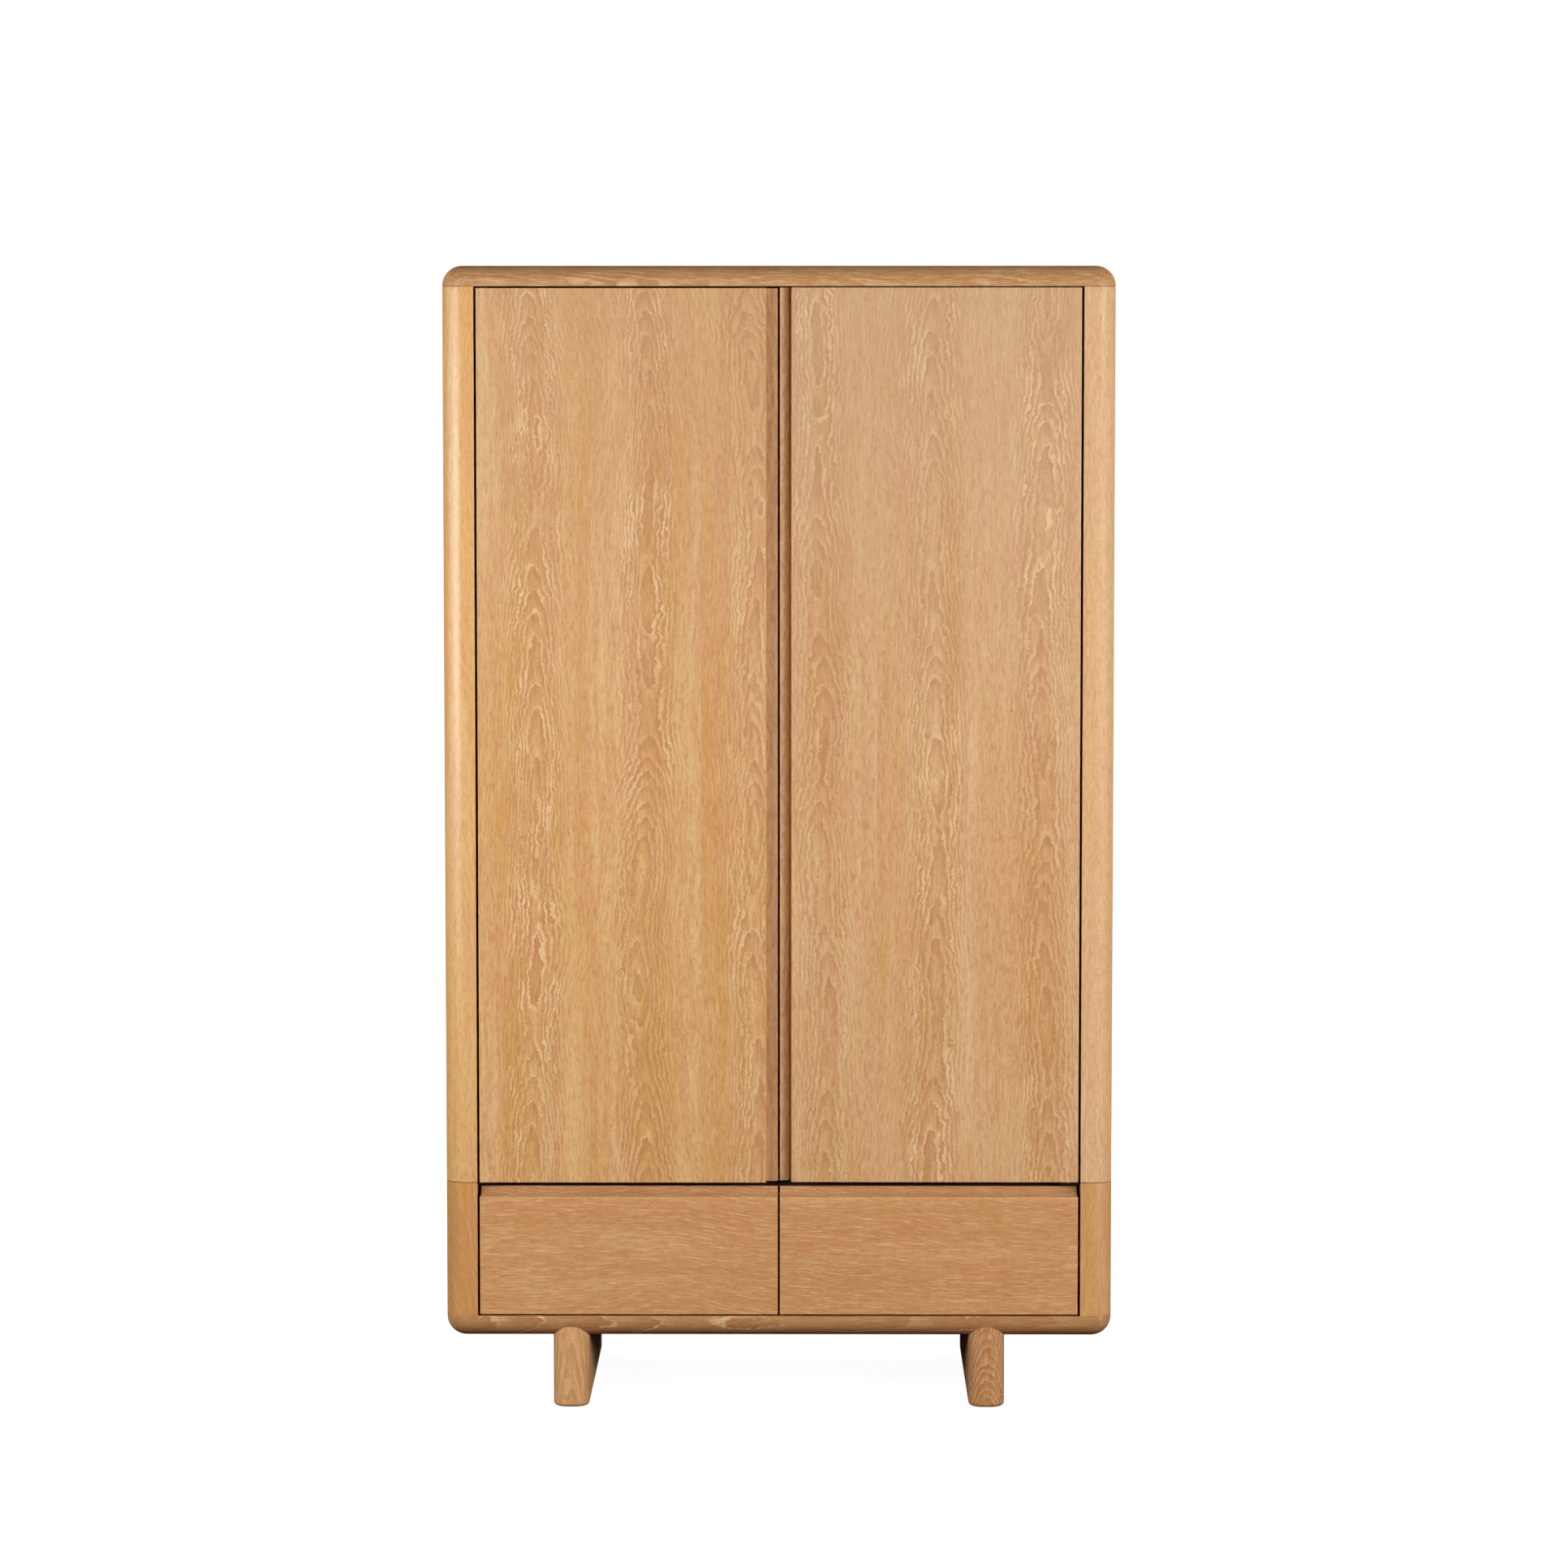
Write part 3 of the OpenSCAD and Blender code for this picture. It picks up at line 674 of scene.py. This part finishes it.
def leg_outline(middle, half, front, back, inset):
    """Plank seen from above, its corners rounded, drawn inwards by inset."""
    chain = []
    radius = LEG_R - inset
    for centre_y, start in ((front + LEG_R, math.pi * 1.5), (back - LEG_R, math.pi)):
        for step in range(ARC_STEPS + 1):
            angle = start - math.pi / 2 * step / ARC_STEPS
            x = LEG_R - half + radius * math.cos(angle)
            chain.append((x, centre_y + radius * math.sin(angle)))
    left = [(middle + x, y) for x, y in chain]
    right = [(middle - x, y) for x, y in reversed(chain)]
    return left + right


def leg_top(y):
    """Height of the scribed top, which follows the base panel's rounded underside."""
    base_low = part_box("base_panel")[0]
    reach = base_low.y + BODY_R - y
    if reach <= 0:
        return base_low.z
    radius = BODY_R + SCRIBE_GAP
    return base_low.z + BODY_R - math.sqrt(radius * radius - reach * reach)


# ---------------------------------------------------------------- doors and drawers

def build_doors(materials):
    for side in SIDES:
        body = f"{side}_door"
        node = f"{side}_door_panel"
        low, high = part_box(node)
        pivot = next(joint for joint in frame["joints"] if joint["name"] == f"{side}_door_hinge")["pos_m"]
        bore = circle(pivot[:2], BUSH_R)
        corners = [(low.x, low.y), (high.x, low.y), (high.x, high.y), (low.x, high.y)]
        radii = [0, MEETING_R, 0, 0] if side == "left" else [MEETING_R, 0, 0, 0]
        panel = prism(f"{side}_door_leaf", rounded(corners, radii), 2, low.z, high.z)
        ease_edges(panel, DOOR_ARRIS)
        foot = prism("foot_bore", bore, 2, low.z - 0.01, low.z + BUSH_DEPTH)
        head = prism("head_bore", bore, 2, high.z - BUSH_DEPTH, high.z + 0.01)
        carve(panel, foot, head)
        place(panel, body, node, "oak_veneer", materials[f"{side}_door"])
        lip = box_piece(f"{side}_door_stile", f"{side}_door_lip", BOARD_ARRIS)
        if side == "right":
            carve(lip, pull_groove(low.x))
        place(lip, body, f"{side}_door_lip", "oak_solid", materials[f"{side}_lip"])


def drawer_board(side, face_y, ledge_z):
    """Front board behind a drawer's face: it slopes up from the face's top edge to a thin lip."""
    low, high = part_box(f"{side}_drawer_front")
    start = Vector((face_y + DRAWER_TOP_ARRIS, ledge_z))
    bend = Vector((face_y + SLOPE_BEND[0], ledge_z + SLOPE_BEND[1]))
    end = Vector((low.y, high.z - LIP_DROP - 0.001))
    outline = [(high.y, low.z), (low.y, low.z), (low.y, ledge_z)]
    for step in range(SLOPE_STEPS + 1):
        share = step / SLOPE_STEPS
        outline.append(start.lerp(bend, share).lerp(bend.lerp(end, share), share))
    outline.append((low.y, high.z - LIP_DROP))
    outline.append((high.y, high.z - LIP_DROP - LIP_FALL))
    board = prism(f"{side}_drawer_board", outline, 0, low.x, high.x)
    ease_edges(board, HAIR)
    return board


def pull_groove(edge_x):
    """Finger groove in the right door's lip, beside its panel's meeting edge."""
    low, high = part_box("right_door_lip")
    corners = [
        (edge_x - GROOVE_W, low.y - 0.01),
        (edge_x + GROOVE_BACK, low.y - 0.01),
        (edge_x + GROOVE_BACK, low.y + GROOVE_D),
        (edge_x - GROOVE_W, low.y + GROOVE_D),
    ]
    return prism("groove", corners, 2, low.z - 0.01, high.z + 0.01)


def build_drawers(materials):
    for side in SIDES:
        body = f"{side}_drawer"
        low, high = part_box(f"{side}_drawer_face")
        corners = [(low.y, high.z), (high.y, high.z), (high.y, low.z), (low.y, low.z)]
        outline = rounded(corners, [DRAWER_TOP_ARRIS, 0, 0, 0], steps=SMALL_ARC_STEPS)
        face = prism(f"{side}_drawer_panel", outline, 0, low.x, high.x)
        ease_edges(face, BOARD_ARRIS)
        place(face, body, f"{side}_drawer_face", "oak_veneer", materials[f"{side}_drawer"])
        front = drawer_board(side, low.y, high.z)
        place(front, body, f"{side}_drawer_front", "oak_solid", materials["drawer_lip"])


# ---------------------------------------------------------------- finishes

def oak_materials():
    """One piece of oak for each board, as a real one has its own figure."""
    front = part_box("left_door_panel")[0].y
    top_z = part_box("top_panel")[1].z
    base_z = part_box("base_panel")[0].z
    made = {}
    # Each side's sign, its first seed, and the middle of a leaf on its door.
    for side, sign, seed, centre in (("left", -1, 1.0, -0.406), ("right", 1, 4.3, 0.070)):
        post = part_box(f"{side}_upper_post")
        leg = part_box(f"{side}_leg")
        post_x = (post[0].x + post[1].x) / 2
        leg_x = (leg[0].x + leg[1].x) / 2
        made[f"{side}_door"] = Oak("z", "x", seed, centre=centre, face=front, **DOOR[side])
        made[f"{side}_lip"] = Oak("z", "x", seed + 11, centre=sign * 0.06, face=front, **LIP_TONES_AND_PAINTED_LIGHT[side])
        for level, turn in zip(LEVELS, (17, 19)):
            calm = {**CALM, **POST[f"{side}_{level}"]}
            made[f"{side}_{level}_post"] = Oak("z", "x", seed + turn, centre=post_x, face=front, **calm)
        made[f"{side}_board"] = Oak("z", "y", seed + 23, face=outer_inner(f"{side}_upper_side")[0])
        made[f"{side}_drawer"] = Oak("x", "z", seed + 31, centre=0.1, leaf=0.8, face=front, **FLANK)
        made[f"{side}_leg"] = Oak("z", "x", seed + 37, centre=leg_x, face=front, **CHEVRON, **LEG[side])
    streaky = {"wander_length": 0.5, "jag": 0.4, "pore": 0.7, "line": 1.2}
    made["top"] = Oak("x", "y", 5.2, leaf=0.145, centre=-0.19, face=top_z, **streaky, **RAIL)
    # The base's rounding turns darker and redder towards its bottom edge: painted shade under the piece.
    painted_underside_shade = {"fade": (base_z + 0.021, base_z + 0.004, 0.0, 0.75), "painted_height_tone": linear(176, 96, 50)}
    made["base"] = Oak("x", "z", 6.1, leaf=0.4, centre=base_z + 0.02, face=front, **ZIGZAG, **RAIL, **painted_underside_shade)
    made["drawer_lip"] = Oak("x", "z", 7.7, centre=0.34, face=front, line=0.5, **RECESS_SHADE_TONES)
    made["back"] = Oak("z", "x", 12.6, face=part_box("upper_back")[0].y, line=0.7)
    made["inner_x"] = Oak("x", "y", 8.3, leaf=0.14, **INNER)
    bay_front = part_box("drawer_bay_top")[0].y
    # The bay top's front edge is painted near-black: painted shade in the gap under the doors.
    made["bay"] = Oak("x", "y", 8.3, leaf=0.14, painted_gap_shade=(bay_front + 0.0002, bay_front + 0.0007), **INNER)
    made["inner_y"] = Oak("y", "z", 9.1, leaf=0.3, centre=0.26, **INNER)
    made["inner_z"] = Oak("z", "x", 9.9, leaf=0.22, **INNER)
    return {name: oak_material(f"oak_{name}", oak) for name, oak in made.items()}


def metal_finish(name, metals):
    """Finish of a steel node, brushed along its own length."""
    if name.endswith("pivot_plates"):
        return metals["dark"]
    if name in ("hanging_rail", "rail_sockets", "shelf_pins"):
        return metals["x"]
    if "runner" in name or "screws" in name:
        return metals["y"]
    return metals["z"]


def wood_finish(name, materials):
    """Finish of an oak node, its grain along the board."""
    if name in ("upper_back", "lower_back"):
        return materials["back"]
    if name == "drawer_bay_top":
        return materials["bay"]
    if name == "drawer_partition":
        return materials["inner_z"]
    if "side" in name or name == "runner_packers":
        return materials["inner_y"]
    return materials["inner_x"]


def finish_cad_nodes(materials):
    """Gives the CAD nodes that still show their finishes."""
    metals = {
        "x": metal_material("zinc_rail", linear(204, 205, 207), 0.22, "x"),
        "y": metal_material("zinc_runner", linear(196, 198, 202), 0.32, "y"),
        "z": metal_material("zinc_upright", linear(198, 200, 203), 0.3, "z"),
        "dark": metal_material("blackened_steel", linear(52, 44, 38), 0.45, "y"),
    }
    brass = metal_material("turned_brass", linear(205, 172, 104), 0.28, "z")
    plastic = plastic_material("moulded_plastic", linear(38, 35, 33))
    slots = {part["node"]: part["material_slot"] for part in frame["record"]["subparts"]}
    for name, node in frame["nodes"].items():
        slot = slots[name]
        if slot == "steel":
            finish = metal_finish(name, metals)
        elif slot == "brass":
            finish = brass
        elif slot == "plastic":
            finish = plastic
        else:
            finish = wood_finish(name, materials)
        for holder in node.material_slots:
            holder.link = "OBJECT"
            holder.material = finish


# ---------------------------------------------------------------- stage

def stage_graph(name, lit, glow):
    """Plain matt material with a glow of its own."""
    g = Graph(name)
    g.set(Base_Color=lit, Roughness=1.0, Specular_IOR_Level=0.0)
    g.set(Emission_Color=(1.0, 1.0, 1.0, 1.0), Emission_Strength=glow)
    return g


def build_floor():
    bm = bmesh.new()
    bmesh.ops.create_circle(bm, cap_ends=True, segments=96, radius=FLOOR_RADIUS)
    floor = new_piece("floor", bm)
    g = stage_graph("pale_floor", (0.2, 0.2, 0.2, 1.0), 1.0)
    x, y = g.point()[0], g.point()[1]
    away = g.math("SQRT", g.math("ADD", g.math("MULTIPLY", x, x), g.math("MULTIPLY", y, y)))
    # Glow dimmer near the middle: a painted contact shadow under the piece.
    g.set(Emission_Strength=g.range(away, *FLOOR_PAINTED_SHADOW))
    floor.data.materials.append(g.material)
    floor.visible_diffuse = False
    floor.visible_glossy = False


def build_dome():
    bm = bmesh.new()
    bmesh.ops.create_uvsphere(bm, u_segments=64, v_segments=32, radius=DOME_RADIUS)
    dome = new_piece("dome", bm)
    dome.data.materials.append(stage_graph("white_dome", (0.0, 0.0, 0.0, 1.0), DOME_GLOW).material)
    dome.visible_diffuse = False
    dome.visible_glossy = False
    dome.visible_shadow = False
    dome.visible_transmission = False


def soft_light(name, position, target, width, height, power, sheen=True):
    lamp = bpy.data.lights.new(name, "AREA")
    lamp.shape = "RECTANGLE"
    lamp.size = width
    lamp.size_y = height
    lamp.energy = power
    light = bpy.data.objects.new(name, lamp)
    light.location = position
    aim = Vector(target) - Vector(position)
    light.rotation_euler = aim.to_track_quat("-Z", "Y").to_euler()
    light.visible_camera = False
    light.visible_glossy = sheen
    bpy.context.scene.collection.objects.link(light)


def build_lights():
    """Lamps by name, place, target, width, height and watts; the rear ones don't mirror in the top."""
    soft_light("key_right", (3.3, -3.0, 1.50), MIDDLE, 3.2, 1.2, 163)
    soft_light("key_left", (-2.45, -2.65, 1.33), MIDDLE, 2.1, 0.9, 76)
    soft_light("side_left", (-3.0, -0.9, 1.45), MIDDLE, 1.0, 1.1, 16)
    soft_light("front_fill", (0.8, -7.3, 2.1), MIDDLE, 2.0, 1.6, 14)
    soft_light("overhead", (0.0, 0.3, 4.4), (0.0, 0.2, 0.0), 3.0, 3.0, 13, sheen=False)
    soft_light("rear_right", (3.0, 3.6, 3.5), MIDDLE, 2.0, 2.4, 185, sheen=False)
    soft_light("rear_left", (-3.0, 3.6, 3.5), MIDDLE, 2.0, 2.4, 185, sheen=False)


def build_world():
    world = bpy.data.worlds.new("studio")
    world.use_nodes = True
    background = world.node_tree.nodes["Background"]
    background.inputs["Color"].default_value = (1.0, 0.98, 0.95, 1.0)
    background.inputs["Strength"].default_value = 0.01
    bpy.context.scene.world = world


def build_camera():
    data = bpy.data.cameras.new("camera")
    data.lens = LENS
    data.sensor_width = SENSOR
    data.clip_end = 100.0
    camera = bpy.data.objects.new("camera", data)
    camera.location = CAMERA_AT
    camera.rotation_euler = (math.radians(90 - CAMERA_DOWN), 0.0, math.radians(CAMERA_TURN))
    bpy.context.scene.collection.objects.link(camera)
    bpy.context.scene.camera = camera


bpy.context.scene.view_settings.view_transform = "Standard"
build_camera()
build_world()
build_lights()
build_floor()
build_dome()
oak_set = oak_materials()
build_panels(oak_set)
build_posts(oak_set)
build_side_boards(oak_set)
build_legs(oak_set)
build_doors(oak_set)
build_drawers(oak_set)
finish_cad_nodes(oak_set)
